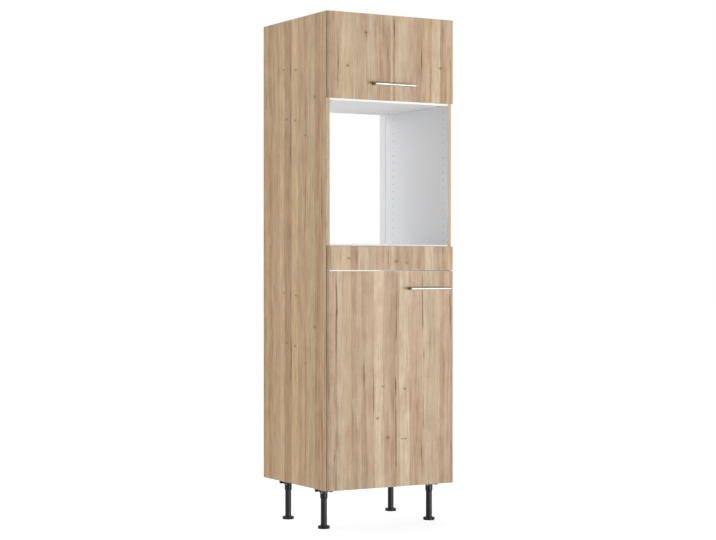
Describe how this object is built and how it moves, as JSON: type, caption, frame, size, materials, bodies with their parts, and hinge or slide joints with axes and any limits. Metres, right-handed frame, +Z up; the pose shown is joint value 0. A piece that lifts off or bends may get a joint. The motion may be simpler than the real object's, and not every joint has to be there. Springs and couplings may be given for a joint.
{
  "type": "appliance housing cabinet",
  "caption": "Tall kitchen housing for a built-in oven: open niche between a lift-up flap and a side-hung door, oak decor fronts and sides, bar handles, adjustable legs.",
  "frame": {"origin": "on the floor, under the middle of the overall box", "axes": "+X to the right seen from the front, +Y to the back, +Z up; the fronts face -Y"},
  "size_m": [0.6, 0.6194, 2.118],
  "materials": {
    "oak_decor": "matt printed decor",
    "white_board": "matt melamine",
    "white_hardboard": "matt lacquer",
    "handle_steel": "satin",
    "hinge_steel": "nickel plated",
    "screw_zinc": "zinc plated",
    "cam_zinc": "die cast zinc",
    "beech": "raw",
    "strut_black": "satin",
    "strut_chrome": "polished",
    "black_plastic": "satin",
    "clear_rubber": "soft"
  },
  "bodies": {
    "carcass": {"left_side_panel": "oak_decor", "right_side_panel": "oak_decor", "fascia_panel": "oak_decor", "bottom_panel": "white_board", "oven_shelf": "white_board", "compartment_floor": "white_board", "top_panel": "white_board", "wall_rail": "white_board", "upper_back_panel": "white_hardboard", "flap_hinge_arms": "hinge_steel", "flap_hinge_plates": "hinge_steel", "door_hinge_arms": "hinge_steel", "door_hinge_plates": "hinge_steel", "fascia_brackets": "hinge_steel", "strut_carcass_brackets": "hinge_steel", "flap_plate_screws": "screw_zinc", "door_plate_screws": "screw_zinc", "fascia_screws": "screw_zinc", "strut_carcass_screws": "screw_zinc", "leg_screws": "screw_zinc", "cam_bolts": "screw_zinc", "cam_fittings": "cam_zinc", "dowels": "beech", "leg_sockets": "black_plastic", "leg_tubes": "black_plastic", "door_buffers": "clear_rubber", "flap_buffers": "clear_rubber"},
    "door": {"door_panel": "oak_decor", "door_handle_bar": "handle_steel", "door_handle_posts": "handle_steel", "door_hinge_cups": "hinge_steel", "door_hinge_pins": "screw_zinc", "door_cup_screws": "screw_zinc", "door_handle_screws": "screw_zinc"},
    "flap": {"flap_panel": "oak_decor", "flap_handle_bar": "handle_steel", "flap_handle_posts": "handle_steel", "flap_hinge_cups": "hinge_steel", "strut_flap_brackets": "hinge_steel", "flap_hinge_pins": "screw_zinc", "flap_cup_screws": "screw_zinc", "flap_handle_screws": "screw_zinc", "strut_flap_screws": "screw_zinc"},
    "strut_tubes": {"strut_cylinders": "strut_black"},
    "strut_rods": {"strut_rods": "strut_chrome"},
    "foot_front_left": {"foot_front_left": "black_plastic"},
    "foot_front_right": {"foot_front_right": "black_plastic"},
    "foot_rear_left": {"foot_rear_left": "black_plastic"},
    "foot_rear_right": {"foot_rear_right": "black_plastic"}
  },
  "joints": [
    {"name": "door_swing", "type": "hinge", "parent": "carcass", "child": "door", "pos_m": [-0.292, -0.26925, 0.614], "axis": [0, 0, -1], "range_deg": [0, 90]},
    {"name": "flap_lift", "type": "hinge", "parent": "carcass", "child": "flap", "pos_m": [0, -0.26925, 2.11], "axis": [-1, 0, 0], "range_deg": [0, 90]},
    {"name": "strut_swing", "type": "hinge", "parent": "carcass", "child": "strut_tubes", "pos_m": [0, -0.06925, 1.96], "axis": [1, 0, 0], "range_deg": [0, 6]},
    {"name": "strut_extend", "type": "slide", "parent": "strut_tubes", "child": "strut_rods", "axis": [0, -0.8424, 0.5388], "range_m": [0, 0.066]},
    {"name": "front_left_foot_adjust", "type": "slide", "parent": "carcass", "child": "foot_front_left", "axis": [0, 0, -1], "range_m": [0, 0.02]},
    {"name": "front_right_foot_adjust", "type": "slide", "parent": "carcass", "child": "foot_front_right", "axis": [0, 0, -1], "range_m": [0, 0.02]},
    {"name": "rear_left_foot_adjust", "type": "slide", "parent": "carcass", "child": "foot_rear_left", "axis": [0, 0, -1], "range_m": [0, 0.02]},
    {"name": "rear_right_foot_adjust", "type": "slide", "parent": "carcass", "child": "foot_rear_right", "axis": [0, 0, -1], "range_m": [0, 0.02]}
  ],
  "couplings": [
    {"joint": "strut_swing", "follows": "flap_lift", "ratio": 0.062829},
    {"joint": "strut_extend", "follows": "flap_lift", "m_per_rad": 0.04142}
  ]
}
